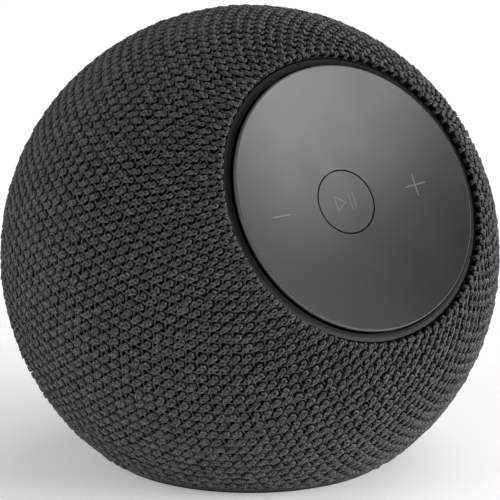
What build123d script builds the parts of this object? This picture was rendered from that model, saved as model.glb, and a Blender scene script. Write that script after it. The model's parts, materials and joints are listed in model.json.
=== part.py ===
from build123d import *
from math import cos, radians, sin, sqrt
import os

# Ball-shaped portable speaker in a knitted sleeve. Millimetres.
# Origin on the resting surface under the ball's centre, +Z up, the control dish faces -Y and up.

# ---- driving dimensions ----
SLEEVE_R = 50.0  # outside of the knitted sleeve
SLEEVE_THICK = 1.8
HOUSING_R = 48.0  # outside of the moulded housing
HOUSING_WALL = 2.5
CENTRE_Z = 41.0  # ball centre above the resting surface
DISH_TILT = 31.3  # degrees from straight ahead, upwards
GAP = 0.1  # assembly gap between nested fixed parts

FACE_OPENING_R = 30.3  # sleeve opening round the controls
DISC_R = 27.65  # control disc
DISC_EDGE = 39.6  # height of the disc's rounded edge along its axis
DISH_FLOOR = 36.62  # height of the dish's lowest point
DISH_CURVE_R = 123.2  # concave radius of the dish
DISC_THICK = 1.6
DISC_SKIRT = 35.4
DISC_LIP_ROUND = 0.25  # the disc's outer edge is rounded by this much
DISC_LIP = 0.65  # height of the outer edge, above the undercut skirt
DISC_UNDERCUT = 0.6
BUTTON_R = 6.42
BUTTON_GAP = 0.3
MARK_X = 16.75  # volume marks, left and right of the centre
MARK_LONG = 4.6
MARK_WIDE = 0.24
MARK_DEEP = 0.3
BEZEL_R = 29.5
BEZEL_IN_R = 28.0
BEZEL_TOP = 38.45
BEZEL_LIP = 37.9

SPLIT = 25.5  # plane between front and main housing, along the face axis
LEDGE_TOP = 30.6  # the control chassis sits here
LEDGE_THICK = 2.0
LEDGE_IN_R = 25.5
CHASSIS_R = 29.4
FLOOR_TOP = LEDGE_TOP + 1.6
BOARD_TOP = FLOOR_TOP + 1.0
DOME_TOP = BOARD_TOP + 1.0
PIVOT_H = 34.6  # rocker pins, along the face axis
PIN_R = 1.2
PIN_FIT = 0.06
MAIN_BOARD_TOP = 21.1

BASE_R = 28.2  # base plate, inside the sleeve's lower edge
BASE_RIM_R = 29.5  # its visible rim under the sleeve
BASE_RIM_TOP = 1.4
FOOT_IN_R = 23.6
FOOT_H = 0.5
BASE_TOP = 2.0
SLEEVE_HEM_Z = 1.5

PORT_TRIM_R = 12.8
PORT_PLUG_R = 10.3
PORT_SKIN_R = 49.5  # radius of the trim's outer, ball-shaped face

DRIVER_R = 22.9  # driver flange
DRIVER_SEAT = 35.6  # seat height along the driver axis
DRIVER_POCKET_R = 23.2
RADIATOR_R = 20.6
RADIATOR_SEAT = 35.0
RADIATOR_POCKET_R = 20.9
GUARD_THICK = 1.4
POCKET_WALL = 1.4
POCKET_FLOOR = 2.2
GUARD_HOLE_R = 1.7

# ---- frames ----
CENTRE = (0, 0, CENTRE_Z)
TILT_COS = cos(radians(DISH_TILT))
TILT_SIN = sin(radians(DISH_TILT))
BALL = Plane(origin=CENTRE)
FACE = Plane(origin=CENTRE, x_dir=(1, 0, 0), z_dir=(0, -TILT_COS, TILT_SIN))
DRIVER = Plane(origin=CENTRE, x_dir=(1, 0, 0), z_dir=(0, TILT_SIN, TILT_COS))
PORT = Plane(origin=CENTRE, x_dir=(-1, 0, 0), z_dir=(0, TILT_COS, -TILT_SIN))
LEFT = Plane(origin=CENTRE, x_dir=(0, -1, 0), z_dir=(-1, 0, 0))
RIGHT = Plane(origin=CENTRE, x_dir=(0, 1, 0), z_dir=(1, 0, 0))


# ---- helpers ----
def disc(radius, low, high):
    return Pos(0, 0, low) * Cylinder(radius, high - low, align=(Align.CENTER, Align.CENTER, Align.MIN))


def ring(outer, inner, low, high):
    return disc(outer, low, high) - disc(inner, low - 1, high + 1)


def block(x, y, low, high):
    return Pos(0, 0, low) * Box(x, y, high - low, align=(Align.CENTER, Align.CENTER, Align.MIN))


def spin(edges):
    """Solid of revolution about Z from edges drawn with X as radius and Y as height."""
    return revolve(Plane.XZ * make_face(edges), Axis.Z)


def around(shape, angles, radius):
    return [Rot(0, 0, angle) * Pos(radius, 0, 0) * shape for angle in angles]


def joined(shapes):
    total = shapes[0]
    for shape in shapes[1:]:
        total = total + shape
    return total


def screw(shank_r, head_r, head_low, head_h, length):
    """Screw pointing down, the underside of its head at head_low, with a cross recess."""
    body = disc(shank_r, head_low - length, head_low + 0.01) + disc(head_r, head_low, head_low + head_h)
    slot = block(head_r * 1.2, 0.3, head_low + head_h * 0.5, head_low + head_h + 1)
    return body - slot - Rot(0, 0, 90) * slot


def ball_radius_at(height, radius):
    return sqrt(radius**2 - height**2)


def dish_height(radius):
    return DISH_FLOOR + DISH_CURVE_R - sqrt(DISH_CURVE_R**2 - radius**2)


# ---- soft cover ----
def fabric_sleeve():
    sleeve = Sphere(SLEEVE_R) - Sphere(SLEEVE_R - SLEEVE_THICK)
    sleeve = BALL * sleeve
    sleeve = sleeve - FACE * disc(FACE_OPENING_R, 5, 60)
    sleeve = sleeve - PORT * disc(PORT_TRIM_R + 0.3, 5, 60)
    sleeve = sleeve - block(140, 140, -20, SLEEVE_HEM_Z)
    return sleeve - disc(BASE_R + GAP, -1, 5)


# ---- housing ----
SCREW_ANGLES = (45, 135, 225, 315)
HOUSING_SCREW_AT = 36.0
HOUSING_SCREW_SEAT = 28.4
SEAL_IN = 38.7
SEAL_OUT = 39.7


def front_housing():
    inner = HOUSING_R - HOUSING_WALL
    shell = Sphere(HOUSING_R) - Sphere(inner)
    ledge = ring(inner + 1, LEDGE_IN_R, LEDGE_TOP - LEDGE_THICK, LEDGE_TOP) & Sphere(inner + 1)
    bosses = joined(around(disc(2.8, SPLIT, HOUSING_SCREW_SEAT + 1.5), SCREW_ANGLES, HOUSING_SCREW_AT))
    shell = shell + ledge + (bosses & Sphere(inner + 1))
    shell = shell & disc(HOUSING_R + 5, SPLIT, HOUSING_R + 5)
    shell = shell - disc(BEZEL_R + 0.2, LEDGE_TOP, 60)
    for hole in around(disc(1.1, SPLIT - 1, 50), SCREW_ANGLES, HOUSING_SCREW_AT):
        shell = shell - hole
    for well in around(disc(2.0, HOUSING_SCREW_SEAT, 50), SCREW_ANGLES, HOUSING_SCREW_AT):
        shell = shell - well
    for hole in around(disc(0.75, LEDGE_TOP - 5, 50), CHASSIS_SCREW_ANGLES, CHASSIS_SCREW_AT):
        shell = shell - hole
    return FACE * shell


def main_housing():
    inner = HOUSING_R - HOUSING_WALL
    shell = Sphere(HOUSING_R) - Sphere(inner)
    post = disc(2.8, 13, SPLIT) + Pos(4, 0, 0) * block(8, 2, 13, SPLIT)
    posts = joined(around(post, SCREW_ANGLES, HOUSING_SCREW_AT))
    shell = shell + (posts & Sphere(inner + 1))
    shell = shell & disc(HOUSING_R + 5, -HOUSING_R - 5, SPLIT)
    shell = shell - ring(SEAL_OUT, SEAL_IN, SPLIT - 0.8, SPLIT + 1)
    for hole in around(disc(0.9, SPLIT - 9, SPLIT + 1), SCREW_ANGLES, HOUSING_SCREW_AT):
        shell = shell - hole
    shell = FACE * shell
    base_bosses = joined(around(disc(2.4, BASE_TOP, 9), SCREW_ANGLES, BASE_SCREW_AT))
    shell = shell + (base_bosses & BALL * Sphere(inner + 1))
    pockets = [
        (DRIVER, DRIVER_SEAT, DRIVER_POCKET_R, DRIVER_HOLE_R),
        (LEFT, RADIATOR_SEAT, RADIATOR_POCKET_R, RADIATOR_HOLE_R),
        (RIGHT, RADIATOR_SEAT, RADIATOR_POCKET_R, RADIATOR_HOLE_R),
    ]
    for frame, seat, pocket_r, hole_r in pockets:
        cup = disc(pocket_r + POCKET_WALL, seat - POCKET_FLOOR, 60) & Sphere(inner + 1)
        shell = shell + frame * cup
        shell = shell - frame * disc(pocket_r, seat, 60)
        shell = shell - frame * disc(hole_r, 10, 60)
    for hole in around(disc(0.75, DRIVER_SEAT - 2, DRIVER_SEAT + 1), SCREW_ANGLES, DRIVER_SCREW_AT):
        shell = shell - DRIVER * hole
    shell = shell - PORT * disc(PORT_PLUG_R + 0.2, 10, 60)
    shell = shell - block(140, 140, -20, BASE_TOP)
    for hole in around(disc(0.9, -1, 8), SCREW_ANGLES, BASE_SCREW_AT):
        shell = shell - hole
    return shell


def housing_seal():
    return FACE * ring(SEAL_OUT, SEAL_IN, SPLIT - 0.8, SPLIT)


def housing_screws():
    each = screw(0.85, 1.8, HOUSING_SCREW_SEAT, 1.3, 9)
    return [FACE * shape for shape in around(each, SCREW_ANGLES, HOUSING_SCREW_AT)]


# ---- base ----
BASE_SCREW_AT = 25.4
BASE_SCREW_SEAT = 1.1


def base_plate():
    rim_low = (BASE_R + 0.1, FOOT_H)
    rim_top = (BASE_RIM_R - 0.1, BASE_RIM_TOP)
    rim = ThreePointArc(rim_low, (BASE_RIM_R - 0.25, BASE_RIM_TOP - 0.45), rim_top)
    neck = Polyline(rim_top, (BASE_R, BASE_RIM_TOP), (BASE_R, BASE_TOP))
    flats = Polyline((BASE_R, BASE_TOP), (0, BASE_TOP), (0, FOOT_H), rim_low)
    plate = spin(rim + neck + flats)
    plate = plate + disc(FOOT_IN_R - 1.2, FOOT_H - 0.3, BASE_TOP)
    plate = plate + ring(21.6, 20.2, BASE_TOP, BASE_TOP + 1.6)
    for x in (-14, 14):
        for y in (-9, 9):
            plate = plate + Pos(x, y, 0) * disc(2.2, BASE_TOP, CRADLE_LOW)
    for shape in around(disc(1.05, -1, 5) + disc(1.7, -1, BASE_SCREW_SEAT), SCREW_ANGLES, BASE_SCREW_AT):
        plate = plate - shape
    return plate


def foot_ring():
    return ring(BASE_R, FOOT_IN_R, 0, FOOT_H)


def base_screws():
    """Flat-headed screws from below, hidden by the rubber foot that is stuck on over them."""
    each = disc(0.85, BASE_SCREW_SEAT, 7.5) + disc(1.6, BASE_SCREW_SEAT - 0.5, BASE_SCREW_SEAT)
    return around(each, SCREW_ANGLES, BASE_SCREW_AT)


# ---- battery ----
CRADLE_LOW = 10.0
BATTERY = (48.0, 32.0, 11.0)
CRADLE_WALL = 1.4


def battery_cradle():
    outer_x = BATTERY[0] + 2 * CRADLE_WALL + 0.4
    outer_y = BATTERY[1] + 2 * CRADLE_WALL + 0.4
    cradle = block(outer_x, outer_y, CRADLE_LOW, CRADLE_LOW + 7)
    cradle = cradle - block(BATTERY[0] + 0.4, BATTERY[1] + 0.4, CRADLE_LOW + CRADLE_WALL, 40)
    cradle = cradle - block(24, 60, CRADLE_LOW + 4, 40)
    return cradle & BALL * Sphere(HOUSING_R - HOUSING_WALL - 0.5)


def battery_pack():
    low = CRADLE_LOW + CRADLE_WALL
    pack = block(BATTERY[0], BATTERY[1], low, low + BATTERY[2])
    return fillet(pack.edges().filter_by(Axis.Z), 3.0)


# ---- control module ----
CHASSIS_SCREW_ANGLES = (45, 135, 225, 315)
CHASSIS_SCREW_AT = 27.2
GUIDE_Y = 5.8
GUIDE_R = 0.8
POST_SPOTS = ((-17, 12), (17, 12), (-17, -15), (17, -15))


def control_chassis():
    tray = disc(CHASSIS_R, LEDGE_TOP, FLOOR_TOP) + ring(CHASSIS_R, 28.5, FLOOR_TOP, 34.0)
    for side in (-1, 1):
        bearing = Pos(0, side * 23.8, 0) * block(4.4, 2.0, FLOOR_TOP, 36.0)
        tray = tray + bearing
        tray = tray - Pos(0, side * 23.8, PIVOT_H) * Rot(90, 0, 0) * Cylinder(PIN_R + PIN_FIT, 6)
        tray = tray - Pos(0, side * GUIDE_Y, 0) * disc(GUIDE_R + 0.08, LEDGE_TOP - 1, FLOOR_TOP + 1)
    for x, y in POST_SPOTS:
        tray = tray + Pos(x, y, 0) * disc(2.2, MAIN_BOARD_TOP, LEDGE_TOP)
        tray = tray - Pos(x, y, 0) * disc(0.75, MAIN_BOARD_TOP - 1, MAIN_BOARD_TOP + 6)
    for hole in around(disc(0.95, LEDGE_TOP - 1, FLOOR_TOP + 1), CHASSIS_SCREW_ANGLES, CHASSIS_SCREW_AT):
        tray = tray - hole
    return FACE * tray


def chassis_screws():
    each = screw(0.7, 1.2, FLOOR_TOP, 1.0, 5.0)
    return [FACE * shape for shape in around(each, CHASSIS_SCREW_ANGLES, CHASSIS_SCREW_AT)]


def bezel_ring():
    inner_top = (BEZEL_IN_R, BEZEL_TOP)
    lip_in = (BEZEL_R - 0.2, BEZEL_LIP)
    lip_out = (BEZEL_R, BEZEL_LIP - 0.2)
    cove = ThreePointArc(inner_top, (BEZEL_IN_R + 0.5, BEZEL_TOP - 0.36), lip_in)
    edge = ThreePointArc(lip_in, (BEZEL_R - 0.06, BEZEL_LIP - 0.06), lip_out)
    sides = Polyline(lip_out, (BEZEL_R, 34.0), (BEZEL_IN_R, 34.0), inner_top)
    return FACE * spin(cove + edge + sides)


def switch_board():
    board = disc(20.3, FLOOR_TOP, BOARD_TOP)
    for side in (-1, 1):
        board = board - Pos(0, side * GUIDE_Y, 0) * disc(GUIDE_R + 0.4, FLOOR_TOP - 1, BOARD_TOP + 1)
    return FACE * board


def dome_switches():
    each = block(4.0, 4.0, BOARD_TOP, DOME_TOP - 0.3) + disc(1.5, BOARD_TOP, DOME_TOP)
    return [FACE * Pos(x, 0, 0) * each for x in (-MARK_X, 0, MARK_X)]


def disc_blank():
    """The rocker disc before its marks are cut: a shallow dish with a thin lip over a deep, narrower skirt."""
    hole_r = BUTTON_R + BUTTON_GAP
    edge_r = DISC_R - DISC_LIP_ROUND - 0.05
    skirt_r = DISC_R - 1.45
    top_in = (hole_r, dish_height(hole_r))
    top_out = (edge_r, dish_height(edge_r))
    wall_top = (DISC_R, DISC_EDGE - DISC_LIP_ROUND)
    lip_low = (DISC_R, DISC_EDGE - DISC_LIP)
    neck_r = DISC_R - DISC_UNDERCUT
    neck_top = (neck_r, DISC_EDGE - DISC_LIP - 0.3)
    under_out = (skirt_r, dish_height(skirt_r) - DISC_THICK)
    under_in = (hole_r, dish_height(hole_r) - DISC_THICK)
    middle_r = (hole_r + edge_r) / 2
    profile = ThreePointArc(top_in, (middle_r, dish_height(middle_r)), top_out)
    profile = profile + ThreePointArc(top_out, (DISC_R - 0.09, DISC_EDGE - 0.05), wall_top)
    profile = profile + Polyline(wall_top, lip_low, neck_top, (neck_r, DISC_SKIRT), (skirt_r, DISC_SKIRT), under_out)
    under_mid = (middle_r, dish_height(middle_r) - DISC_THICK)
    profile = profile + ThreePointArc(under_out, under_mid, under_in)
    return spin(profile + Line(under_in, top_in))


def mark_layer(prism):
    """The part of a prism that lies in the dish's top MARK_DEEP."""
    dish_centre = DISH_FLOOR + DISH_CURVE_R
    prism = prism & Pos(0, 0, dish_centre) * Sphere(DISH_CURVE_R + MARK_DEEP)
    return prism - Pos(0, 0, dish_centre) * Sphere(DISH_CURVE_R)


def minus_prism():
    return Pos(-MARK_X, 0, 0) * block(MARK_LONG, MARK_WIDE, 36, 40)


def plus_prism():
    return Pos(MARK_X, 0, 0) * (block(MARK_LONG, MARK_WIDE, 36, 40) + block(MARK_WIDE, MARK_LONG, 36, 40))


def play_prisms():
    """The outline of a triangle and two thin bars, the usual sign for play and pause."""
    triangle = Polygon((-2.4, -1.7), (0.3, 0), (-2.4, 1.7), align=None)
    outline = triangle - offset(triangle, -MARK_WIDE)
    prisms = [Pos(0, 0, 36) * extrude(outline, 4)]
    for x in (1.2, 2.2):
        prisms.append(Pos(x, 0, 0) * block(MARK_WIDE, 3.4, 36, 40))
    return prisms


def control_disc():
    blank = disc_blank()
    for side in (-1, 1):
        lug_y = side * 21.7
        lug = Pos(0, lug_y, 0) * block(3.8, 1.8, PIVOT_H, 37.6)
        lug = lug + Pos(0, lug_y, PIVOT_H) * Rot(90, 0, 0) * Cylinder(1.9, 1.8)
        pin = Pos(0, side * 23.2, PIVOT_H) * Rot(90, 0, 0) * Cylinder(PIN_R, 2.8)
        blank = blank + lug + pin
        blank = blank + Pos(side * MARK_X, 0, 0) * disc(1.3, DOME_TOP + 0.42, 36.8)
    blank = blank - mark_layer(minus_prism()) - mark_layer(plus_prism())
    return FACE * blank


def minus_mark():
    return FACE * mark_layer(minus_prism())


def plus_mark():
    return FACE * mark_layer(plus_prism())


def centre_button():
    flange_low = DOME_TOP + 0.15
    cap = disc(BUTTON_R, flange_low, 40) - Pos(0, 0, DISH_FLOOR + DISH_CURVE_R) * Sphere(DISH_CURVE_R)
    cap = cap - disc(5.2, flange_low - 1, 35.8)
    cap = cap + ring(7.5, 6.0, flange_low, flange_low + 0.55)
    cap = cap + disc(1.5, DOME_TOP + 0.65, 36.0)
    for side in (-1, 1):
        cap = cap + Pos(0, side * GUIDE_Y, 0) * disc(GUIDE_R, LEDGE_TOP + 0.3, flange_low + 0.3)
    for prism in play_prisms():
        cap = cap - mark_layer(prism)
    return FACE * cap


def play_pause_mark():
    return [FACE * mark_layer(prism) for prism in play_prisms()]


# ---- electronics ----
def main_board():
    board = Pos(0, -6, 0) * block(44, 40, MAIN_BOARD_TOP - 1.6, MAIN_BOARD_TOP)
    for x, y in POST_SPOTS:
        board = board - Pos(x, y, 0) * disc(0.95, MAIN_BOARD_TOP - 3, MAIN_BOARD_TOP + 1)
    return FACE * board


def main_board_screws():
    low = MAIN_BOARD_TOP - 1.6
    each = disc(0.7, low, MAIN_BOARD_TOP + 5) + disc(1.5, low - 1.1, low)
    return [FACE * Pos(x, y, 0) * each for x, y in POST_SPOTS]


def radio_shield():
    can = Pos(-6, 4, 0) * block(13, 10, MAIN_BOARD_TOP, MAIN_BOARD_TOP + 2.2)
    return FACE * fillet(can.edges().filter_by(Axis.Z), 0.8)


def board_capacitors():
    spots = ((8, 5), (8, -3), (8, -11), (-2, -18))
    return [FACE * Pos(x, y, 0) * disc(2.5, MAIN_BOARD_TOP, MAIN_BOARD_TOP + 5.5) for x, y in spots]


def lead_sockets():
    spots = ((-12, -10), (-12, -20), (10, -20))
    return [FACE * Pos(x, y, 0) * block(6, 3.4, MAIN_BOARD_TOP, MAIN_BOARD_TOP + 3.2) for x, y in spots]


# ---- charging port ----
USB_LONG = 8.94
USB_HIGH = 3.16
PORT_BOARD_Y = -2.2
LIGHT_X = 7.8
LIGHT_LOW = 42.0


def usb_prism(grow, low, high):
    outline = SlotOverall(USB_LONG + 2 * grow, USB_HIGH + 2 * grow)
    return Pos(0, 0, low) * extrude(outline, high - low)


def port_trim():
    trim = disc(PORT_TRIM_R, 30, 60) & Sphere(PORT_SKIN_R)
    trim = trim - Sphere(HOUSING_R + 0.05)
    plug = disc(PORT_PLUG_R, 43.6, 60) & Sphere(HOUSING_R + 0.5)
    trim = trim + plug
    for side in (-1, 1):
        trim = trim + Pos(side * 7.0, 0, 0) * block(1.6, 7.0, 34, 44)
    trim = trim - usb_prism(0.12, 30, 60)
    trim = trim - Pos(LIGHT_X, 0, 0) * disc(0.85, LIGHT_LOW - 0.5, 60)
    trim = trim - Pos(0, PORT_BOARD_Y, 0) * block(17, 1.1, 30, 43.6)
    return PORT * trim


def usb_c_socket():
    shell = usb_prism(0, 37.6, 48.4) - usb_prism(-0.3, 39.0, 60)
    tongue = block(6.2, 0.7, 38.5, 46.6)
    return PORT * (shell + tongue)


def port_board():
    return PORT * Pos(0, PORT_BOARD_Y, 0) * block(15, 1.0, 31, 43.5)


def status_light():
    pipe = Pos(LIGHT_X, 0, 0) * disc(0.8, LIGHT_LOW, 60)
    return PORT * (pipe & Sphere(PORT_SKIN_R))


# ---- loudspeaker driver ----
DRIVER_HOLE_R = 20.1
DRIVER_SCREW_AT = 21.3
FLANGE_LOW = 36.0
FLANGE_TOP = 37.5


def driver_basket():
    outline = Polyline(
        (DRIVER_R, FLANGE_LOW), (DRIVER_R, FLANGE_TOP), (18.2, FLANGE_TOP), (18.2, FLANGE_LOW),
        (12.2, 27.2), (7.4, 27.2), (7.4, 26.0), (12.8, 26.0), (19.6, FLANGE_LOW), (DRIVER_R, FLANGE_LOW),
    )
    basket = spin(outline)
    window = Pos(15.5, 0, 0) * block(9, 9, 28.5, 34.5)
    for angle in (0, 90, 180, 270):
        basket = basket - Rot(0, 0, angle) * window
    for hole in around(disc(0.95, 30, 40), SCREW_ANGLES, DRIVER_SCREW_AT):
        basket = basket - hole
    return DRIVER * basket


def driver_gasket():
    gasket = ring(22.8, 20.3, DRIVER_SEAT, FLANGE_LOW)
    for hole in around(disc(0.95, 30, 40), SCREW_ANGLES, DRIVER_SCREW_AT):
        gasket = gasket - hole
    return DRIVER * gasket


def driver_screws():
    each = screw(0.7, 0.95, FLANGE_TOP, 0.7, 3.2)
    return [DRIVER * shape for shape in around(each, SCREW_ANGLES, DRIVER_SCREW_AT)]


def driver_top_plate():
    return DRIVER * ring(13, 6.7, 24.5, 26.0)


def driver_magnet():
    return DRIVER * ring(13, 7.4, 20.5, 24.5)


def driver_yoke():
    return DRIVER * (disc(13, 18.5, 20.5) + disc(5.1, 20.5, 26.0))


def driver_voice_coil():
    return DRIVER * ring(6.2, 5.6, 22.8, 31.0)


def driver_cone():
    outline = Polyline(
        (6.25, 30.0), (16.4, 36.4), (17.0, 36.4), (17.0, 36.9), (16.2, 36.9), (6.25, 30.6), (6.25, 30.0)
    )
    return DRIVER * spin(outline)


def driver_dust_cap():
    cap_sphere = Pos(0, 0, 22.0) * (Sphere(12.4) - Sphere(12.0))
    cap = cap_sphere & disc(7.9, 31.8, 40)
    return DRIVER * (cap - disc(30, 20, 31.8))


def driver_surround():
    outer = ThreePointArc((17.3, 37.6), (18.6, 38.9), (19.9, 37.6))
    inner = ThreePointArc((19.5, 37.6), (18.6, 38.5), (17.7, 37.6))
    outline = outer + Line((19.9, 37.6), (19.5, 37.6)) + inner + Line((17.7, 37.6), (17.3, 37.6))
    roll = spin(outline)
    return DRIVER * (roll + ring(20.0, 19.3, FLANGE_TOP, 37.7))


def driver_spider():
    return DRIVER * (ring(12.1, 6.6, 27.7, 28.0) + ring(12.1, 11.3, 27.2, 28.0))


def ball_guard(frame, radius, skirt_low, rings):
    """Perforated cap that carries the ball's surface across a loudspeaker opening."""
    inner = HOUSING_R - GUARD_THICK
    skirt_r = radius - 0.75
    middle = radius / 2
    outer_edge = (radius, ball_radius_at(radius, HOUSING_R))
    outer_arc = ThreePointArc(outer_edge, (middle, ball_radius_at(middle, HOUSING_R)), (0, HOUSING_R))
    inner_edge = (skirt_r, ball_radius_at(skirt_r, inner))
    inner_arc = ThreePointArc((0, inner), (middle, ball_radius_at(middle, inner)), inner_edge)
    skirt = Polyline(inner_edge, (skirt_r, skirt_low), (radius, skirt_low), outer_edge)
    guard = spin(outer_arc + Line((0, HOUSING_R), (0, inner)) + inner_arc + skirt)
    guard = guard - disc(GUARD_HOLE_R, 30, 60)
    for count, at in rings:
        angles = [360 / count * index for index in range(count)]
        for hole in around(disc(GUARD_HOLE_R, 30, 60), angles, at):
            guard = guard - hole
    return frame * guard


GUARD_RINGS = ((6, 5.2), (12, 10.2), (18, 15.2))


def driver_guard():
    return ball_guard(DRIVER, DRIVER_POCKET_R - 0.1, FLANGE_TOP, GUARD_RINGS)


# ---- passive radiators ----
RADIATOR_HOLE_R = 17.2
DIAPHRAGM_R = 11.6


def radiator_frame(frame):
    rim = ring(RADIATOR_R, 15.4, RADIATOR_SEAT, RADIATOR_SEAT + 1.6)
    return frame * (rim + ring(16.9, 15.4, RADIATOR_SEAT - 1.5, RADIATOR_SEAT))


def radiator_surround(frame):
    low = RADIATOR_SEAT + 1.6
    outer = ThreePointArc((12.0, low), (14.0, low + 2.0), (16.0, low))
    inner = ThreePointArc((15.5, low), (14.0, low + 1.5), (12.5, low))
    roll = spin(outer + Line((16.0, low), (15.5, low)) + inner + Line((12.5, low), (12.0, low)))
    return frame * (roll + ring(18.0, 15.6, low, low + 0.5))


def radiator_diaphragm(frame):
    low = RADIATOR_SEAT + 1.2
    plate = disc(DIAPHRAGM_R, low, low + 1.2)
    return frame * (plate + disc(7.0, low - 1.8, low) + disc(8.5, low + 1.2, low + 1.5))


def radiator_guard(frame):
    return ball_guard(frame, RADIATOR_POCKET_R - 0.1, RADIATOR_SEAT + 1.6, GUARD_RINGS)


# ---- write every sub-part ----
def as_node(shape):
    if isinstance(shape, list):
        return Compound(children=[solid for item in shape for solid in item.solids()])
    solids = shape.solids()
    return solids[0] if len(solids) == 1 else Compound(children=list(solids))


NODES = {
    "fabric_sleeve": fabric_sleeve,
    "front_housing": front_housing,
    "main_housing": main_housing,
    "housing_seal": housing_seal,
    "housing_screws": housing_screws,
    "base_plate": base_plate,
    "foot_ring": foot_ring,
    "base_screws": base_screws,
    "battery_cradle": battery_cradle,
    "battery_pack": battery_pack,
    "control_chassis": control_chassis,
    "chassis_screws": chassis_screws,
    "bezel_ring": bezel_ring,
    "switch_board": switch_board,
    "dome_switches": dome_switches,
    "control_disc": control_disc,
    "minus_mark": minus_mark,
    "plus_mark": plus_mark,
    "centre_button": centre_button,
    "play_pause_mark": play_pause_mark,
    "main_board": main_board,
    "main_board_screws": main_board_screws,
    "radio_shield": radio_shield,
    "board_capacitors": board_capacitors,
    "lead_sockets": lead_sockets,
    "port_trim": port_trim,
    "usb_c_socket": usb_c_socket,
    "port_board": port_board,
    "status_light": status_light,
    "driver_basket": driver_basket,
    "driver_gasket": driver_gasket,
    "driver_screws": driver_screws,
    "driver_top_plate": driver_top_plate,
    "driver_magnet": driver_magnet,
    "driver_yoke": driver_yoke,
    "driver_voice_coil": driver_voice_coil,
    "driver_cone": driver_cone,
    "driver_dust_cap": driver_dust_cap,
    "driver_surround": driver_surround,
    "driver_spider": driver_spider,
    "driver_guard": driver_guard,
}
SIDES = {"left": LEFT, "right": RIGHT}
SIDE_PARTS = {
    "frame": radiator_frame,
    "surround": radiator_surround,
    "diaphragm": radiator_diaphragm,
    "guard": radiator_guard,
}

os.makedirs("parts", exist_ok=True)
for name, make in NODES.items():
    export_step(as_node(make()), f"parts/{name}.step")
for side, frame in SIDES.items():
    for name, make in SIDE_PARTS.items():
        export_step(as_node(make(frame)), f"parts/{side}_radiator_{name}.step")
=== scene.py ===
"""Looks of a ball-shaped speaker in a knitted sleeve, built round its CAD frame, in metres."""

import json
from math import acos, asin, cos, pi, radians, sin, sqrt, tau

import bpy
import numpy as np
from mathutils import Matrix, Vector


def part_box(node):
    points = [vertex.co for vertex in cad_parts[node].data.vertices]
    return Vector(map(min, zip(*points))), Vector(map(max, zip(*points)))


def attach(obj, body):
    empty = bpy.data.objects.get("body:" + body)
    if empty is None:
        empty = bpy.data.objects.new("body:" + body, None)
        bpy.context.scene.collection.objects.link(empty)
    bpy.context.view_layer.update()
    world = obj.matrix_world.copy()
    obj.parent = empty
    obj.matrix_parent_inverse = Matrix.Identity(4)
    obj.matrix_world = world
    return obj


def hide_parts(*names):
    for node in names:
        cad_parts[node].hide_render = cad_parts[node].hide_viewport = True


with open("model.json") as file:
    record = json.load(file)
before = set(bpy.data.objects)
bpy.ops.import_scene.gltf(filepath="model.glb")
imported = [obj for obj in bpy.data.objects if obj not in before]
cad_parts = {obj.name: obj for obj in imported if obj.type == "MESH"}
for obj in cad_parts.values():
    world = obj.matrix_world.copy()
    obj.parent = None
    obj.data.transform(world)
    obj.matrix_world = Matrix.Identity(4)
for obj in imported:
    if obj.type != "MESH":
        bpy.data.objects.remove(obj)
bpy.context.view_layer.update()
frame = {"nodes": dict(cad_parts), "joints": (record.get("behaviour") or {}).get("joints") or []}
MM = 0.001
SEED = 7

# ---- places taken from the frame ----
NODES = frame["nodes"]
JOINTS = {joint["name"]: joint for joint in frame["joints"]}
SLEEVE_LOW, SLEEVE_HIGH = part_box("fabric_sleeve")
BALL_R = (SLEEVE_HIGH.x - SLEEVE_LOW.x) / 2
CENTRE = Vector((0, 0, SLEEVE_HIGH.z - BALL_R))
HEM_Z = SLEEVE_LOW.z
FACE_AXIS = -Vector(JOINTS["play_button"]["axis"])
FACE_ACROSS = Vector((1, 0, 0))
FACE_UP = FACE_AXIS.cross(FACE_ACROSS)

# ---- view and light ----
VIEW_AZIMUTH = radians(-37.5)
VIEW_ELEVATION = radians(18)
LENS = 1600  # long, so that the picture has almost no perspective
SENSOR = 36
VIEW_WIDTH = 100.24 * MM  # width that the picture takes in at the ball
VIEW_RISE = 0.86 * MM  # the middle of the picture is this far above the ball's centre
LAMP_DISTANCE = 1.0  # from the ball's centre
FLOOR_REACH = 6.0
FLOOR_GLOW = 0.24  # lightens the ball's shadow on the paper
PALE_HEIGHT = 0.06  # the studio is white up to this sine of elevation
DIM_HEIGHT = 0.38  # and dim from this one up
DIM_SHARE = 0.2


def view_axes():
    """Right, up and back of the main view."""
    back = Vector((
        sin(VIEW_AZIMUTH) * cos(VIEW_ELEVATION),
        -cos(VIEW_AZIMUTH) * cos(VIEW_ELEVATION),
        sin(VIEW_ELEVATION),
    ))
    right = Vector((0, 0, 1)).cross(back).normalized()
    return right, back.cross(right), back


def add_camera():
    right, up, back = view_axes()
    data = bpy.data.cameras.new("camera")
    data.lens = LENS
    data.sensor_width = SENSOR
    data.clip_start = 0.1
    data.clip_end = 10
    camera = bpy.data.objects.new("camera", data)
    distance = VIEW_WIDTH * LENS / SENSOR
    turn = Matrix((right, up, back)).transposed()
    eye = CENTRE + up * VIEW_RISE + back * distance
    camera.matrix_world = Matrix.Translation(eye) @ turn.to_4x4()
    bpy.context.scene.collection.objects.link(camera)
    bpy.context.scene.camera = camera


def add_softbox(name, sideways, upward, toward, size, power):
    """A soft lamp in a direction given as parts of the view's right, up and back, aimed at the ball."""
    right, up, back = view_axes()
    direction = (right * sideways + up * upward + back * toward).normalized()
    data = bpy.data.lights.new(name, "AREA")
    data.shape = "RECTANGLE"
    data.size, data.size_y = size
    data.energy = power
    lamp = bpy.data.objects.new(name, data)
    lamp.location = CENTRE + direction * LAMP_DISTANCE
    lamp.rotation_euler = direction.to_track_quat("Z", "Y").to_euler()
    bpy.context.scene.collection.objects.link(lamp)


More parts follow.
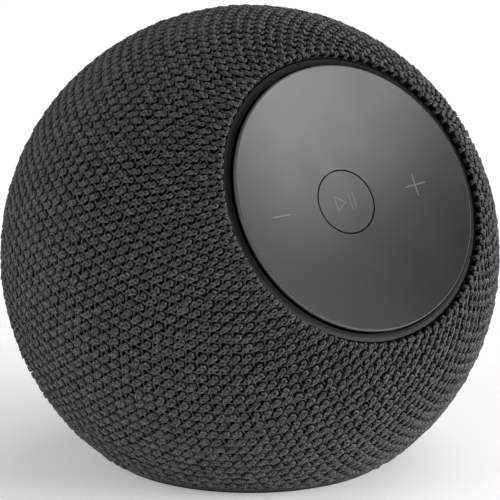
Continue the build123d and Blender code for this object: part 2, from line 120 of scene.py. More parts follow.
def add_light():
    add_softbox("right_softbox", 0.95, -0.02, 0.30, (0.8, 1.0), 19)
    add_softbox("left_softbox", -0.90, 0.15, 0.40, (0.9, 1.1), 6)
    add_softbox("top_softbox", 0.45, 0.85, -0.25, (1.2, 0.9), 5)


def add_surroundings():
    """A white studio: pale at the level of the horizon and below, dimmer overhead."""
    world = bpy.data.worlds.new("studio")
    world.use_nodes = True
    nodes, links = world.node_tree.nodes, world.node_tree.links
    background = nodes["Background"]
    place = nodes.new("ShaderNodeTexCoord")
    height = nodes.new("ShaderNodeSeparateXYZ")
    ramp = nodes.new("ShaderNodeValToRGB")
    pale, dim = ramp.color_ramp.elements
    pale.position = PALE_HEIGHT
    pale.color = (1, 1, 1, 1)
    dim.position = DIM_HEIGHT
    dim.color = (DIM_SHARE, DIM_SHARE, DIM_SHARE, 1)
    links.new(place.outputs["Generated"], height.inputs["Vector"])
    links.new(height.outputs["Z"], ramp.inputs["Fac"])
    links.new(ramp.outputs["Color"], background.inputs["Color"])
    background.inputs["Strength"].default_value = 1.0
    bpy.context.scene.world = world


def add_floor():
    mesh = bpy.data.meshes.new("floor")
    corners = [(x * FLOOR_REACH, y * FLOOR_REACH, 0) for x, y in ((-1, -1), (1, -1), (1, 1), (-1, 1))]
    mesh.from_pydata(corners, [], [(0, 1, 2, 3)])
    floor = bpy.data.objects.new("floor", mesh)
    bpy.context.scene.collection.objects.link(floor)
    glow = {"Emission Color": (1, 1, 1, 1), "Emission Strength": FLOOR_GLOW}
    material, _, _ = new_material("floor_paper", (0.92, 0.92, 0.92), 0.9, **glow)
    mesh.materials.append(material)


# ---- material tools ----
def new_material(name, colour, roughness, **plain):
    """A Principled material. plain holds values for other sockets, by name."""
    material = bpy.data.materials.new(name)
    material.use_nodes = True
    shader = material.node_tree.nodes["Principled BSDF"]
    shader.inputs["Base Color"].default_value = (*colour, 1)
    shader.inputs["Roughness"].default_value = roughness
    for socket, value in plain.items():
        shader.inputs[socket.replace("_", " ")].default_value = value
    return material, shader, material.node_tree


def add_node(tree, kind, **values):
    """A node with its named inputs set to values or linked to sockets."""
    node = tree.nodes.new(kind)
    for name, value in values.items():
        socket = node.inputs[name.replace("_", " ")]
        if isinstance(value, bpy.types.NodeSocket):
            tree.links.new(value, socket)
        else:
            socket.default_value = value
    return node


def place_on(tree):
    """The piece's own coordinates, in metres."""
    return tree.nodes.new("ShaderNodeTexCoord").outputs["Object"]


def noise(tree, vector, size, detail=3.0, roughness=0.55):
    """Noise whose features are about size metres across, from 0 to 1."""
    node = add_node(tree, "ShaderNodeTexNoise", Vector=vector, Scale=1 / size)
    node.inputs["Detail"].default_value = detail
    node.inputs["Roughness"].default_value = roughness
    return node.outputs["Fac"]


def fitted(tree, value, low, high, from_low=0.3, from_high=0.7):
    """The value carried from its own range to the range from low to high, and held there."""
    node = add_node(tree, "ShaderNodeMapRange", Value=value)
    node.inputs["From Min"].default_value = from_low
    node.inputs["From Max"].default_value = from_high
    node.inputs["To Min"].default_value = low
    node.inputs["To Max"].default_value = high
    return node.outputs["Result"]


def blended(tree, factor, first, second):
    """A colour between first and second."""
    node = tree.nodes.new("ShaderNodeMix")
    node.data_type = "RGBA"
    factor_in, first_in, second_in = node.inputs[0], node.inputs[6], node.inputs[7]
    for socket, value in ((factor_in, factor), (first_in, first), (second_in, second)):
        if isinstance(value, bpy.types.NodeSocket):
            tree.links.new(value, socket)
        else:
            socket.default_value = (*value, 1) if isinstance(value, tuple) else value
    return node.outputs[2]


def math_node(tree, operation, first, second=0.5):
    node = tree.nodes.new("ShaderNodeMath")
    node.operation = operation
    for socket, value in zip(node.inputs, (first, second)):
        if isinstance(value, bpy.types.NodeSocket):
            tree.links.new(value, socket)
        else:
            socket.default_value = value
    return node.outputs[0]


def set_bump(tree, shader, height, depth):
    node = add_node(tree, "ShaderNodeBump", Height=height, Distance=depth, Strength=1.0)
    tree.links.new(node.outputs["Normal"], shader.inputs["Normal"])


def moulded_plastic(
    name, colour, roughness, grain=0.12 * MM, depth=0.004 * MM, uneven=0.12, **plain,
):
    """Moulded plastic with a fine spark-eroded grain, faint flow marks and slightly uneven gloss."""
    material, shader, tree = new_material(name, colour, roughness, **plain)
    place = place_on(tree)
    fine = noise(tree, place, grain, 2.0)
    broad = noise(tree, place, 9 * MM, 3.0)
    both = math_node(tree, "ADD", fitted(tree, fine, 0, 0.6), fitted(tree, broad, 0, 0.4))
    dark = tuple(c * (1 - uneven) for c in colour)
    light = tuple(c * (1 + uneven) for c in colour)
    tree.links.new(blended(tree, both, dark, light), shader.inputs["Base Color"])
    tree.links.new(fitted(tree, broad, roughness - 0.03, roughness + 0.03), shader.inputs["Roughness"])
    set_bump(tree, shader, fine, depth)
    return material


# ---- the knitting ----
STITCHES = 82  # loops in one round
COURSE_LOW = 1.5 * MM  # height of a course at the ball's widest round
COURSE_MORE = 0.5 * MM  # and how much higher one would be at the poles
OPENING_R = 29.8 * MM  # free radius of the opening round the controls
EDGE_ROLL = 0.8 * MM  # the cloth rolls over this radius at the opening
PORT_R = 13.1 * MM  # free radius of the opening at the back
PORT_ROLL = 0.6 * MM
HEM_ROLL = 1.0 * MM  # the cloth turns under the ball over this radius
HEM_TUCK = 1.9 * MM  # and reaches this far inwards above the base
HEM_OVER = 0.05 * MM  # the tucked face stays this far above the CAD sleeve's lower edge
FIRST_COURSE = -0.2 * MM  # the edge's loops stand here, over the roll
EDGE_FULLER = 1.2  # and are this much thicker

# One loop: across in pitches, up in courses, depth in mm under the ball's surface and
# thickness in pitches.
LOOP = (
    (-0.500, -1.68, 0.78, 0.074),
    (-0.270, -1.52, 0.66, 0.078),
    (-0.080, -1.25, 0.54, 0.074),
    (-0.040, -0.98, 0.46, 0.078),
    (-0.110, -0.66, 0.36, 0.098),
    (-0.112, -0.32, 0.27, 0.104),
    (0.070, -0.09, 0.20, 0.098),
    (0.140, 0.12, 0.22, 0.097),
    (0.106, 0.32, 0.27, 0.096),
    (0.000, 0.40, 0.30, 0.095),
    (-0.106, 0.32, 0.28, 0.096),
    (-0.140, 0.12, 0.28, 0.097),
    (-0.070, -0.09, 0.42, 0.092),
    (0.112, -0.32, 0.38, 0.103),
    (0.110, -0.66, 0.42, 0.098),
    (0.040, -0.98, 0.55, 0.076),
    (0.080, -1.25, 0.62, 0.072),
    (0.270, -1.52, 0.72, 0.076),
)
LOOP_DEPTH = 0.28  # mean depth of the loops' heads, mm
SUNK_LEGS = 0.7  # where the loops crowd together, their legs lie deeper by this part
EVEN_PITCH = 3.8 * MM  # loops this far apart or more lie as in the table
SAMPLES = 20  # along one loop
SIDES = 6  # of the yarn's section
PIECES = 8  # bands of courses, one object each
LOOP_MM = (2.8, 1.7, 1.0)  # a middling pitch and course and the unit of depth, for even sampling
FILL = 16  # curve points for each row of the table

# How much the loops differ, as standard deviations: in pitches, courses or mm, or as a part.
SHIFT = 0.020
LEAN = 0.06
WIDTH_CHANGE = 0.08
RISE = 0.045
DEPTH_CHANGE = 0.045
THICK_CHANGE = 0.05
JOINT_UP = -1.3  # loops join below here, where they keep their place
FREE_OVER = 0.6  # and are free this much further up
LEAN_UP = 0.2  # a loop leans about this height

CROWD_RANGE = 1.4 * MM  # loops this much closer than EVEN_PITCH are fully crowded
SMALL_PITCH = 2.4 * MM  # loops closer than this are shallower too
YARN_TWIST = 2.6 * MM  # run of one full turn of the fibres
FIBRE_STRETCH = 0.35
FIBRE_STEP = 0.37  # sets the fibres of neighbouring courses apart
ROW_SHAPE = 0.7  # width to height of one yarn sample's side when unrolled, times the rows' margin
ROW_MARGIN = 0.05  # free part of a row at each side

# Angles from the control axis where the cloth leaves the ball for its rolled edges, and from straight down
# where it leaves the ball for the hem.
EDGE_ANGLE = asin((OPENING_R + EDGE_ROLL) / (BALL_R - EDGE_ROLL))
PORT_ANGLE = pi - asin((PORT_R + PORT_ROLL) / (BALL_R - PORT_ROLL))
HEM_ANGLE = acos((CENTRE.z - HEM_Z - HEM_OVER - HEM_ROLL) / (BALL_R - HEM_ROLL))
BALL_RUN = BALL_R * (PORT_ANGLE - EDGE_ANGLE)
EDGE_TURN = EDGE_ANGLE + pi / 2
PORT_TURN = pi - PORT_ANGLE + pi / 2

# The closed cloth under the loops.
BACKING_DEPTH = 1.35 * MM
BACKING_EDGE_DEPTH = 0.5 * MM  # where it goes over the openings' rolls
BACKING_THICK = 0.25 * MM
BACKING_ROUND = 200  # points in one round
BACKING_STEP = 0.7 * MM
EDGE_WALL = 1.2 * MM  # it goes this far past the roll at the control opening
PORT_WALL = 0.8 * MM
EDGE_BLEND = 0.8 * MM  # it comes up to the edge depth over this run
PORT_BLEND = 0.4 * MM
BACKING_SHORT = 0.4 * MM  # under the hem it ends this far before the loops do


def run_along(points):
    """Distance of each point from the first one, along the line that they make."""
    return np.concatenate([[0], np.cumsum(np.linalg.norm(np.diff(points, axis=0), axis=1))])


def loop_samples():
    """The loop as an even run of points on a smooth closed curve that steps one pitch across."""
    knots = np.array(LOOP)
    step = np.array([1.0, 0, 0, 0])
    before, after = knots[-1] - step, knots[:2] + step
    line = np.vstack([before, knots, after])
    fine = []
    for index in range(len(knots)):
        a, b, c, d = line[index:index + 4]
        bend = 2 * a - 5 * b + 4 * c - d
        twist = 3 * b - a - 3 * c + d
        for t in np.arange(0, 1, 1 / FILL):
            fine.append(0.5 * (2 * b + (c - a) * t + bend * t**2 + twist * t**3))
    fine.append(knots[0] + step)
    fine = np.array(fine)
    run = run_along(fine[:, :3] * np.array(LOOP_MM))
    wanted = np.linspace(0, run[-1], SAMPLES + 1)[:-1]
    return np.stack([np.interp(wanted, run, fine[:, k]) for k in range(4)], axis=1)


def cloth_profile(run):
    """Radius, height and outward angle of the cloth's outer face at a run along it. The run is 0 where
    the opening's rolled edge meets the ball, and the ball's centre is at height 0."""
    angle = EDGE_ANGLE + run / BALL_R
    radius, height = BALL_R * np.sin(angle), BALL_R * np.cos(angle)
    past = run - BALL_RUN
    edge_turn = np.clip(EDGE_ANGLE + run / EDGE_ROLL, -pi / 2, EDGE_ANGLE)
    port_turn = np.clip(PORT_ANGLE + past / PORT_ROLL, PORT_ANGLE, 1.5 * pi)
    edge_wall = np.minimum(run + EDGE_ROLL * EDGE_TURN, 0)
    port_wall = np.maximum(past - PORT_ROLL * PORT_TURN, 0)
    for rolled, start, turn, roll, wall in (
        (run < 0, EDGE_ANGLE, edge_turn, EDGE_ROLL, edge_wall),
        (past > 0, PORT_ANGLE, port_turn, PORT_ROLL, port_wall),
    ):
        inner = BALL_R - roll
        radius = np.where(rolled, inner * sin(start) + roll * np.sin(turn), radius)
        height = np.where(rolled, inner * cos(start) + roll * np.cos(turn) + wall, height)
        angle = np.where(rolled, turn, angle)
    return radius, height, angle


def tucked_under(points, outward):
    """Turns whatever reaches below the hem inwards, over a roll and then level. Returns the points on
    the cloth's outer face, their outward directions and how far each one goes along the level part."""
    across = np.hypot(points[:, 0], points[:, 1])
    down = CENTRE.z - points[:, 2]
    angle = np.arctan2(across, down)
    beyond = np.where(down > 0, BALL_R * (HEM_ANGLE - angle), -1.0)
    under = beyond > 0
    turn = np.clip(HEM_ANGLE - beyond / HEM_ROLL, 0, None)
    level = np.maximum(beyond - HEM_ROLL * HEM_ANGLE, 0)
    radius = (BALL_R - HEM_ROLL) * sin(HEM_ANGLE) + HEM_ROLL * np.sin(turn) - level
    height = CENTRE.z - (BALL_R - HEM_ROLL) * cos(HEM_ANGLE) - HEM_ROLL * np.cos(turn)
    side = points[:, :2] / np.maximum(across, 1e-9)[:, None]
    folded = np.column_stack([side * radius[:, None], height])
    facing = np.column_stack([side * np.sin(turn)[:, None], -np.cos(turn)])
    points = np.where(under[:, None], folded, points)
    outward = np.where(under[:, None], facing, outward)
    return points, outward, level


def on_cloth(around, run, depth):
    """Points at a depth under the cloth's outer face, with their outward directions and hem tuck."""
    radius, height, angle = cloth_profile(run)
    frame_axes = np.array([FACE_ACROSS, FACE_UP, FACE_AXIS])
    side = np.stack([np.cos(around), np.sin(around)], axis=1)
    local = np.column_stack([side * radius[:, None], height])
    facing = np.column_stack([side * np.sin(angle)[:, None], np.cos(angle)])
    points = local @ frame_axes + np.array(CENTRE)
    outward = facing @ frame_axes
    points, outward, level = tucked_under(points, outward)
    return points - outward * depth[:, None], outward, level


def angle_at(run):
    """Angle from the control axis at a run along the cloth, held between the two openings."""
    return min(max(EDGE_ANGLE + run / BALL_R, EDGE_ANGLE), PORT_ANGLE)


def course_height(angle):
    """Height of one course at an angle from the control axis: loops are drawn longer near the poles."""
    return COURSE_LOW + COURSE_MORE * cos(angle)**2


def courses():
    """Run of every course's middle along the cloth, from the opening's edge to the back."""
    runs = [FIRST_COURSE - course_height(EDGE_ANGLE), FIRST_COURSE]
    while runs[-1] < BALL_RUN + PORT_ROLL:
        runs.append(runs[-1] + course_height(angle_at(runs[-1])))
    return runs


def course_yarn(index, run, loop, rng):
    """One course of loops as a closed tube: its points, outward directions, thickness and hem tuck."""
    pitch = tau * BALL_R * sin(angle_at(run)) / STITCHES
    course = course_height(angle_at(run))
    across, up, depth, thick = (np.tile(loop[:, k], (STITCHES, 1)) for k in range(4))

    def uneven(spread):
        """A random amount for each loop."""
        return rng.normal(0, spread, (STITCHES, 1))

    free = np.clip((up - JOINT_UP) / FREE_OVER, 0, 1)
    across = across + free * uneven(SHIFT)
    across = across + free * (up - LEAN_UP) * uneven(LEAN)
    across = across * (1 + free * uneven(WIDTH_CHANGE))
    up = up + free * uneven(RISE)
    depth = depth + free * uneven(DEPTH_CHANGE)
    thick = thick * (1 + uneven(THICK_CHANGE)) * (EDGE_FULLER if index == 1 else 1)
    turn = (np.arange(STITCHES)[:, None] + 0.5 * (index % 2) + across) * tau / STITCHES
    crowding = np.clip((EVEN_PITCH - pitch) / CROWD_RANGE, 0, 1)
    depth = LOOP_DEPTH + (depth - LOOP_DEPTH) * (1 + SUNK_LEGS * crowding)
    depth = depth * MM * min(1.0, pitch / SMALL_PITCH)
    points, outward, level = on_cloth(turn.ravel(), (run - up * course).ravel(), depth.ravel())
    return points, outward, (thick * pitch).ravel(), level


def tube(points, outward, thick, keep):
    """A closed tube's points, its faces, its yarn coordinates and each face's place along and round the
    yarn. keep marks the points that are used."""
    count = len(points)
    along = np.roll(points, -1, axis=0) - np.roll(points, 1, axis=0)
    along /= np.linalg.norm(along, axis=1)[:, None]
    sideways = np.cross(along, outward)
    sideways /= np.maximum(np.linalg.norm(sideways, axis=1), 1e-9)[:, None]
    upright = np.cross(sideways, along)
    angle = np.arange(SIDES) * tau / SIDES
    cosine, sine = np.cos(angle)[None, :, None], np.sin(angle)[None, :, None]
    ring = sideways[:, None] * cosine + upright[:, None] * sine
    verts = points[:, None] + ring * thick[:, None, None]
    run = run_along(points)
    here, side = np.meshgrid(np.arange(count), np.arange(SIDES), indexing="ij")
    there, next_side = (here + 1) % count, (side + 1) % SIDES
    quads = np.stack([
        here * SIDES + side, here * SIDES + next_side, there * SIDES + next_side, there * SIDES + side,
    ], axis=-1)
    used = keep & np.roll(keep, -1)
    quads = quads[used]
    places = np.stack([here, side], axis=-1)[used]
    twist = run / YARN_TWIST * tau
    spin = angle[None, :] + twist[:, None]
    lengthwise = np.broadcast_to(run[:, None], spin.shape)
    fibre = np.stack([lengthwise / MM * FIBRE_STRETCH, np.cos(spin), np.sin(spin)], axis=-1)
    return verts.reshape(-1, 3), quads.reshape(-1, 4), fibre.reshape(-1, 3), places.reshape(-1, 2)


def mesh_from(name, verts, faces):
    """A smooth mesh from arrays of points and of faces with the same number of corners."""
    mesh = bpy.data.meshes.new(name)
    mesh.vertices.add(len(verts))
    mesh.vertices.foreach_set("co", np.ascontiguousarray(verts, np.float32).ravel())
    mesh.loops.add(faces.size)
    mesh.loops.foreach_set("vertex_index", np.ascontiguousarray(faces, np.int32).ravel())
    mesh.polygons.add(len(faces))
    mesh.polygons.foreach_set("loop_start", np.arange(0, faces.size, faces.shape[1], dtype=np.int32))
    mesh.update(calc_edges=True)
    mesh.polygons.foreach_set("use_smooth", np.ones(len(faces), bool))
    return mesh


def without_loose(verts, faces, fibre):
    """The same mesh without the points that no face uses."""
    used = np.unique(faces)
    place = np.zeros(len(verts), np.int64)
    place[used] = np.arange(len(used))
    return verts[used], place[faces], fibre[used]


def unrolled(mesh, places, length):
    """Texture coordinates that lay the yarn's surface out flat in rows, one above the other."""
    per_row = int(sqrt(length * SIDES * ROW_SHAPE))
    row_count = length // per_row + 1
    along, side = places[:, 0], places[:, 1]
    left = (along % per_row) / per_row
    right = left + 1 / per_row
    filled = 1 - 2 * ROW_MARGIN
    low = (along // per_row + ROW_MARGIN + filled * side / SIDES) / row_count
    high = low + filled / SIDES / row_count
    corners = np.stack([left, low, left, high, right, high, right, low], axis=-1)
    layer = mesh.uv_layers.new(name="OFBake")
    layer.data.foreach_set("uv", np.ascontiguousarray(corners, np.float32).ravel())


def make_knit(material):
    """The whole knitted face, in bands of courses."""
    rng = np.random.default_rng(SEED)
    loop = loop_samples()
    rows = []
    for index, run in enumerate(courses()):
        points, outward, thick, level = course_yarn(index, run, loop, rng)
        rows.append(tube(points, outward, thick, level < HEM_TUCK))
    bands = np.array_split(np.arange(len(rows)), PIECES)
    made = []
    for number, band in enumerate(bands):
        verts, faces, fibre, places, offset = [], [], [], [], 0
        for index in band:
            row_verts, row_faces, row_fibre, row_places = rows[index]
            verts.append(row_verts)
            faces.append(row_faces + offset)
            fibre.append(row_fibre + (0, 0, FIBRE_STEP * index))
            places.append(row_places + (offset // SIDES, 0))
            offset += len(row_verts)
        verts, faces, fibre = (np.concatenate(part) for part in (verts, faces, fibre))
        verts, faces, fibre = without_loose(verts, faces, fibre)
        name = f"knit_courses_{number + 1}"
        mesh = mesh_from(name, verts, faces)
        attribute = mesh.attributes.new("fibre", "FLOAT_VECTOR", "POINT")
        attribute.data.foreach_set("vector", np.ascontiguousarray(fibre, np.float32).ravel())
        unrolled(mesh, np.concatenate(places), offset // SIDES)
        mesh.materials.append(material)
        made.append(add_piece(name, mesh, "root"))
    return made


def add_piece(name, mesh, body):
    piece = bpy.data.objects.new(name, mesh)
    bpy.context.scene.collection.objects.link(piece)
    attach(piece, body)
    return piece


def make_backing(material):
    """The closed cloth under the loops: a thin shell that rolls over both openings and the hem."""
    first = -EDGE_ROLL * EDGE_TURN - EDGE_WALL
    run = np.arange(first, BALL_RUN + PORT_ROLL * PORT_TURN + PORT_WALL, BACKING_STEP)
    turn = np.arange(BACKING_ROUND) * tau / BACKING_ROUND
    all_run, all_turn = (grid.ravel() for grid in np.meshgrid(run, turn, indexing="ij"))
    near_edge = np.clip(-all_run / EDGE_BLEND, 0, 1)
    near_port = np.clip((all_run - BALL_RUN) / PORT_BLEND, 0, 1)
    rise = (BACKING_DEPTH - BACKING_EDGE_DEPTH) * np.maximum(near_edge, near_port)
    points, _, level = on_cloth(all_turn, all_run, BACKING_DEPTH - rise)
    keep = level < HEM_TUCK - BACKING_SHORT
    row, column = np.meshgrid(np.arange(len(run) - 1), np.arange(BACKING_ROUND), indexing="ij")
    beside = (column + 1) % BACKING_ROUND
    here, there = row * BACKING_ROUND, (row + 1) * BACKING_ROUND
    quads = np.stack([here + column, there + column, there + beside, here + beside], axis=-1)
    quads = quads.reshape(-1, 4)
    quads = quads[keep[quads].all(axis=1)]
    points, quads, _ = without_loose(points, quads, points)
    mesh = mesh_from("sleeve_backing", points, quads)
    mesh.materials.append(material)
    piece = add_piece("sleeve_backing", mesh, "root")
    thicken(piece, BACKING_THICK)
    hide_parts("fabric_sleeve")


def thicken(piece, thickness):
    """Gives a sheet its thickness, on the inner side."""
    modifier = piece.modifiers.new("thickness", "SOLIDIFY")
    modifier.thickness = thickness
    modifier.offset = -1
    graph = bpy.context.evaluated_depsgraph_get()
    solid = bpy.data.meshes.new_from_object(piece.evaluated_get(graph))
    piece.modifiers.clear()
    piece.data = solid


def yarn_material():
    """Dark grey spun yarn: fine twisted fibres, flecks and a soft bloom of loose fibre."""
    material, shader, tree = new_material(
        "knit_yarn", (0.035, 0.035, 0.035), 0.85, Sheen_Weight=0.12, Sheen_Roughness=0.5,
    )
    shader.inputs["Specular IOR Level"].default_value = 0.3
    fibre = tree.nodes.new("ShaderNodeAttribute")
    fibre.attribute_name = "fibre"
    place = place_on(tree)
    along_fibre = fibre.outputs["Vector"]
    strands = add_node(tree, "ShaderNodeTexNoise", Vector=along_fibre, Scale=2.2, Detail=1.0)
    flecks = noise(tree, place, 0.5 * MM, 1.0)
    patches = noise(tree, place, 3.2 * MM, 2.0)
    streaks = fitted(tree, strands.outputs["Fac"], 0, 0.3, 0.4, 0.6)
    mixed = math_node(tree, "ADD", streaks, fitted(tree, flecks, 0, 0.7, 0.42, 0.62))
    colour = blended(tree, mixed, (0.014, 0.014, 0.014), (0.110, 0.110, 0.110))
    shade = fitted(tree, patches, 0.86, 1.12)
    tree.links.new(scaled(tree, colour, shade), shader.inputs["Base Color"])
    set_bump(tree, shader, mixed, 0.08 * MM)
    return material


def scaled(tree, colour, factor):
    node = tree.nodes.new("ShaderNodeVectorMath")
    node.operation = "SCALE"
    tree.links.new(colour, node.inputs[0])
    tree.links.new(factor, node.inputs["Scale"])
    return node.outputs[0]


def backing_material_with_painted_shade():
    # The closed cloth under the loops, coloured near-black so that it also stands for the shade in the
    # loops' holes and in the opening's wall: partly real cloth, partly painted shade.
    material, shader, tree = new_material("sleeve_backing_painted_shade", (0.012, 0.012, 0.012), 0.95)
    shader.inputs["Specular IOR Level"].default_value = 0.1
    place = place_on(tree)
    weave = noise(tree, place, 0.35 * MM, 2.0)
    colour = blended(tree, weave, (0.004, 0.004, 0.004), (0.02, 0.02, 0.02))
    tree.links.new(colour, shader.inputs["Base Color"])
    set_bump(tree, shader, weave, 0.06 * MM)
    return material


# ---- CAD nodes ----
CONTROL_COLOUR = (0.006, 0.006, 0.0061)
CONTROL_GLOSS = 0.37
EDGE_HIGHLIGHT_R = 27.43 * MM  # a painted highlight: the control disc is paler outside this radius, along its rounded edge
EDGE_HIGHLIGHT_BLUR = 0.04 * MM
EDGE_HIGHLIGHT_COLOUR = (0.10, 0.10, 0.10)
WAVE_PERIOD = 1 / 3.18  # distance between the bands of a wave texture at scale 1


def dress(material, *names):
    for name in names:
        mesh = NODES[name].data
        mesh.materials.clear()
        mesh.materials.append(material)


def metal(name, colour, roughness, grain=0.2 * MM):
    """Bare metal with fine tumbling marks and faint stains."""
    material, shader, tree = new_material(name, colour, roughness, Metallic=1.0)
    place = place_on(tree)
    fine = noise(tree, place, grain, 3.0)
    stain = noise(tree, place, 4 * MM, 3.0)
    both = math_node(tree, "MULTIPLY", fitted(tree, fine, 0.5, 1.0), fitted(tree, stain, 0.6, 1.0))
    dark = tuple(c * 0.6 for c in colour)
    tree.links.new(blended(tree, both, dark, colour), shader.inputs["Base Color"])
    tree.links.new(fitted(tree, fine, roughness - 0.06, roughness + 0.1), shader.inputs["Roughness"])
    set_bump(tree, shader, fine, 0.003 * MM)
    return material


def turned(tree, vector, axis):
    """Coordinates turned so that an axis of the object is their Z."""
    node = add_node(tree, "ShaderNodeMapping", Vector=vector)
    turn = Vector(axis).rotation_difference(Vector((0, 0, 1)))
    node.inputs["Rotation"].default_value = turn.to_euler()
    return node.outputs["Vector"]


def circuit_board(name, axis):
    """Green solder mask over copper tracks, with tinned pads."""
    material, shader, tree = new_material(name, (0.01, 0.09, 0.04), 0.35)
    flat = turned(tree, place_on(tree), axis)
    tracks = add_node(tree, "ShaderNodeTexBrick", Vector=flat, Scale=1 / (9 * MM))
    tracks.inputs["Color1"].default_value = (0, 0, 0, 1)
    tracks.inputs["Color2"].default_value = (0, 0, 0, 1)
    tracks.inputs["Mortar"].default_value = (1, 1, 1, 1)
    tracks.inputs["Mortar Size"].default_value = 0.02
    masked = blended(tree, tracks.outputs["Color"], (0.008, 0.075, 0.032), (0.03, 0.17, 0.07))
    pads = add_node(tree, "ShaderNodeTexVoronoi", Vector=flat, Scale=1 / (2.4 * MM))
    pad = math_node(tree, "LESS_THAN", pads.outputs["Distance"], 0.16)
    tree.links.new(blended(tree, pad, masked, (0.55, 0.54, 0.5)), shader.inputs["Base Color"])
    tree.links.new(fitted(tree, pad, 0.36, 0.25, 0, 1), shader.inputs["Roughness"])
    set_bump(tree, shader, tracks.outputs["Color"], 0.03 * MM)
    return material


def plastic_with_painted_edge_highlight(name, node_name):
    """The control disc's plastic, with a painted highlight: a paler line along its rounded outer edge,
    where the edge catches the light.
    """
    material = moulded_plastic(name, CONTROL_COLOUR, CONTROL_GLOSS)
    tree = material.node_tree
    shader = tree.nodes["Principled BSDF"]
    place = add_node(tree, "ShaderNodeVectorMath")
    place.operation = "SUBTRACT"
    tree.links.new(place_on(tree), place.inputs[0])
    place.inputs[1].default_value = NODES[node_name].matrix_world.inverted() @ CENTRE
    level = turned(tree, place.outputs["Vector"], FACE_AXIS)
    parts = add_node(tree, "ShaderNodeSeparateXYZ", Vector=level)
    x, y = (math_node(tree, "POWER", parts.outputs[side], 2) for side in ("X", "Y"))
    radius = math_node(tree, "SQRT", math_node(tree, "ADD", x, y))
    # painted highlight on the disc's rounded edge
    edge_highlight = fitted(tree, radius, 0, 1, EDGE_HIGHLIGHT_R - EDGE_HIGHLIGHT_BLUR, EDGE_HIGHLIGHT_R + EDGE_HIGHLIGHT_BLUR)
    plain = shader.inputs["Base Color"].links[0].from_socket
    tree.links.new(blended(tree, edge_highlight, plain, EDGE_HIGHLIGHT_COLOUR), shader.inputs["Base Color"])
    return material


def wound_wire(name, colour, axis, wire):
    """Enamelled wire in close turns round an axis, with painted shade: darker towards the grooves between
    the turns.
    """
    material, shader, tree = new_material(name, colour, 0.3, Metallic=0.9)
    along = turned(tree, place_on(tree), axis)
    turns = add_node(tree, "ShaderNodeTexWave", Vector=along, Scale=WAVE_PERIOD / wire)
    turns.bands_direction = "Z"
    # painted shade: each turn darkens towards the grooves between turns
    dark = tuple(c * 0.35 for c in colour)
    tree.links.new(blended(tree, turns.outputs["Fac"], dark, colour), shader.inputs["Base Color"])
    set_bump(tree, shader, turns.outputs["Fac"], 0.05 * MM)
    return material


def fibrous(name, dark, light, roughness, size=0.5 * MM):
    """Pressed or woven fibre: short streaks in two sizes."""
    material, shader, tree = new_material(name, light, roughness)
    shader.inputs["Specular IOR Level"].default_value = 0.25
    place = place_on(tree)
    streaks = noise(tree, place, size, 5.0, 0.7)
    blotches = noise(tree, place, size * 9, 2.0)
    both = math_node(tree, "ADD", fitted(tree, streaks, 0, 0.7), fitted(tree, blotches, 0, 0.3))
    tree.links.new(blended(tree, both, dark, light), shader.inputs["Base Color"])
    set_bump(tree, shader, streaks, 0.05 * MM)
    return material


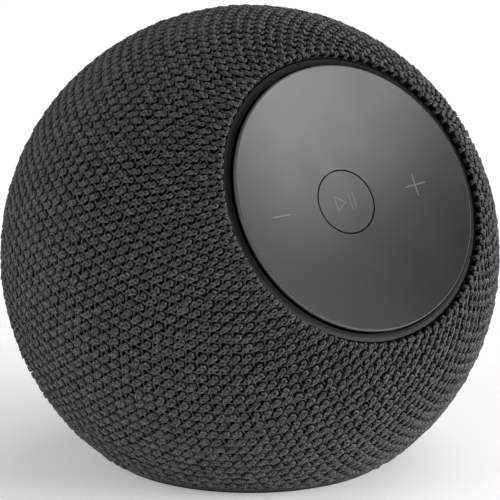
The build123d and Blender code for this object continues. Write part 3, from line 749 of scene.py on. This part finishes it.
def dress_nodes():
    dress(moulded_plastic("button_plastic", CONTROL_COLOUR, CONTROL_GLOSS), "centre_button")
    # the disc's plastic carries a painted highlight along its rounded edge
    dress(plastic_with_painted_edge_highlight("disc_plastic_painted_highlight", "control_disc"), "control_disc")
    bezel = moulded_plastic("bezel_plastic", (0.006, 0.006, 0.0062), 0.5, Specular_IOR_Level=0.2)
    dress(bezel, "bezel_ring")
    marks = moulded_plastic("mark_print", (0.11, 0.11, 0.11), 0.5, uneven=0.05)
    dress(marks, "minus_mark", "plus_mark")
    dress(moulded_plastic("sign_print", (0.075, 0.075, 0.075), 0.5, uneven=0.05), "play_pause_mark")
    dress(moulded_plastic("base_plastic", (0.012, 0.012, 0.0122), 0.5), "base_plate")
    dress(moulded_plastic("trim_plastic", (0.015, 0.015, 0.0152), 0.45), "port_trim")
    housing = moulded_plastic("housing_plastic", (0.02, 0.02, 0.021), 0.55, 0.2 * MM, 0.008 * MM)
    dress(housing, "front_housing", "main_housing")
    tray = moulded_plastic("tray_plastic", (0.03, 0.03, 0.031), 0.5)
    dress(tray, "control_chassis", "battery_cradle", "left_radiator_frame", "right_radiator_frame")
    foot = moulded_plastic("foot_rubber", (0.010, 0.010, 0.010), 0.85, grain=0.3 * MM, uneven=0.3)
    dress(foot, "foot_ring")
    seal = moulded_plastic("seal_rubber", (0.018, 0.018, 0.018), 0.7, uneven=0.3)
    dress(seal, "housing_seal", "driver_gasket", "driver_surround")
    dress(seal, "left_radiator_surround", "right_radiator_surround")
    weight = moulded_plastic("diaphragm_plastic", (0.035, 0.035, 0.036), 0.4, uneven=0.2)
    dress(weight, "left_radiator_diaphragm", "right_radiator_diaphragm")
    dress(circuit_board("control_circuit", FACE_AXIS), "switch_board", "main_board")
    dress(circuit_board("port_circuit", FACE_UP), "port_board")
    dress(moulded_plastic("connector_nylon", (0.62, 0.58, 0.48), 0.45, uneven=0.06), "lead_sockets")
    dress(metal("tinned_steel", (0.62, 0.62, 0.60), 0.35), "dome_switches", "radio_shield")
    dress(metal("stainless_steel", (0.55, 0.55, 0.56), 0.28), "usb_c_socket")
    zinc = metal("zinc_steel", (0.5, 0.5, 0.5), 0.35)
    dress(zinc, "housing_screws", "base_screws", "chassis_screws", "main_board_screws", "driver_screws")
    iron = metal("plated_iron", (0.42, 0.42, 0.40), 0.4, grain=0.5 * MM)
    dress(iron, "driver_top_plate", "driver_yoke")
    coated = moulded_plastic("coated_steel", (0.02, 0.02, 0.02), 0.5, grain=0.35 * MM, depth=0.015 * MM)
    dress(coated, "driver_basket", "driver_guard", "left_radiator_guard", "right_radiator_guard")
    dress(metal("capacitor_can", (0.55, 0.56, 0.58), 0.3), "board_capacitors")
    wrap = moulded_plastic("battery_wrap", (0.03, 0.12, 0.28), 0.25, grain=0.9 * MM, uneven=0.08)
    dress(wrap, "battery_pack")
    ferrite = moulded_plastic("ferrite", (0.05, 0.05, 0.052), 0.65, grain=0.4 * MM, uneven=0.35)
    dress(ferrite, "driver_magnet")
    dress(wound_wire("coil_wire", (0.72, 0.34, 0.16), FACE_UP, 0.25 * MM), "driver_voice_coil")
    paper = fibrous("cone_paper", (0.015, 0.015, 0.015), (0.05, 0.05, 0.05), 0.85)
    dress(paper, "driver_cone", "driver_dust_cap")
    cloth = fibrous("spider_cloth", (0.22, 0.13, 0.05), (0.48, 0.34, 0.16), 0.8, 0.3 * MM)
    dress(cloth, "driver_spider")
    dress(moulded_plastic("light_pipe", (0.75, 0.77, 0.78), 0.25, uneven=0.05), "status_light")


# ---- making ----
add_camera()
add_light()
add_surroundings()
add_floor()
dress_nodes()
knit_pieces = make_knit(yarn_material())
make_backing(backing_material_with_painted_shade())
bpy.context.scene.view_settings.view_transform = "Standard"
